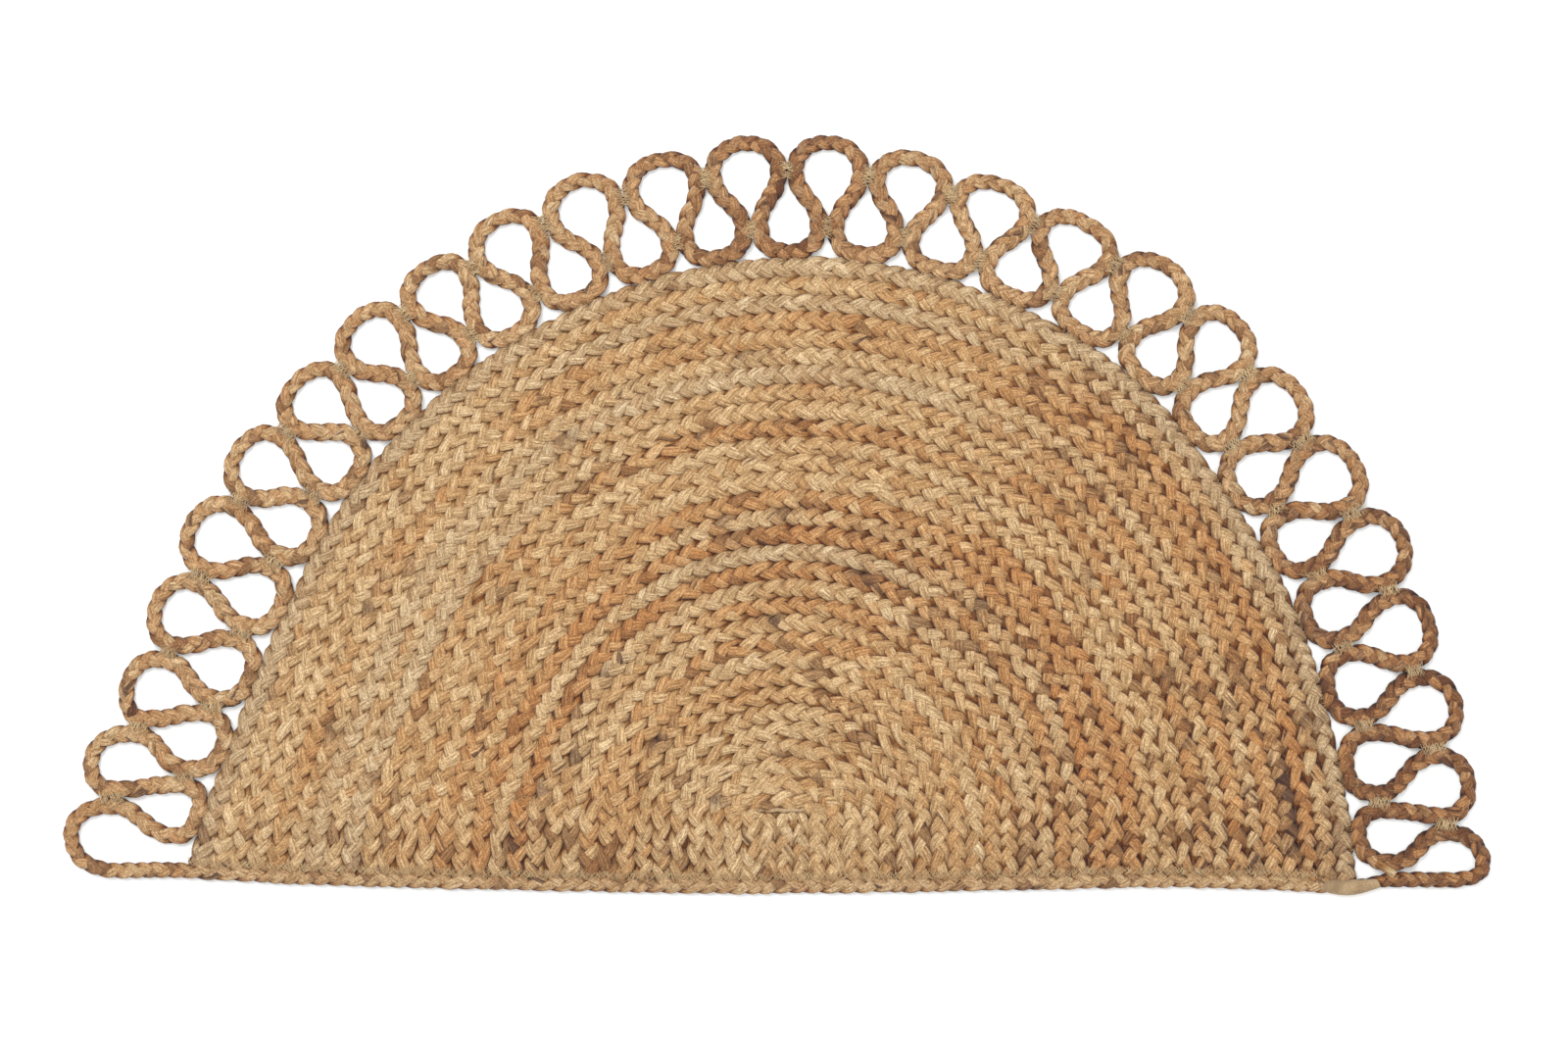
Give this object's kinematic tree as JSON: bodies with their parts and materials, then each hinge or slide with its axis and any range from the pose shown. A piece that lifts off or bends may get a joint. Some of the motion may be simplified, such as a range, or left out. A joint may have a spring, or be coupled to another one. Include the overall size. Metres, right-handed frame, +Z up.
{
  "type": "half-moon jute rug",
  "caption": "Flat half-moon rug of braided jute, coiled round a short start, with a corded cut edge and a border of looped cord.",
  "frame": {"origin": "middle of the rug's outline box, on the floor under it", "axes": "+X along the cut edge to the right corner, +Y from the cut edge to the top of the half moon, +Z up"},
  "size_m": [0.9224, 0.491, 0.0085],
  "materials": {
    "mat_jute": "matt braided jute, golden tan with lighter and browner rows",
    "cord_jute": "matt round braid of jute, a little browner than the mat",
    "thread_jute": "pale twisted jute thread"
  },
  "bodies": {
    "root": {"coiled_mat": "mat_jute", "looped_cord": "cord_jute", "end_whipping": "thread_jute"}
  },
  "joints": []
}
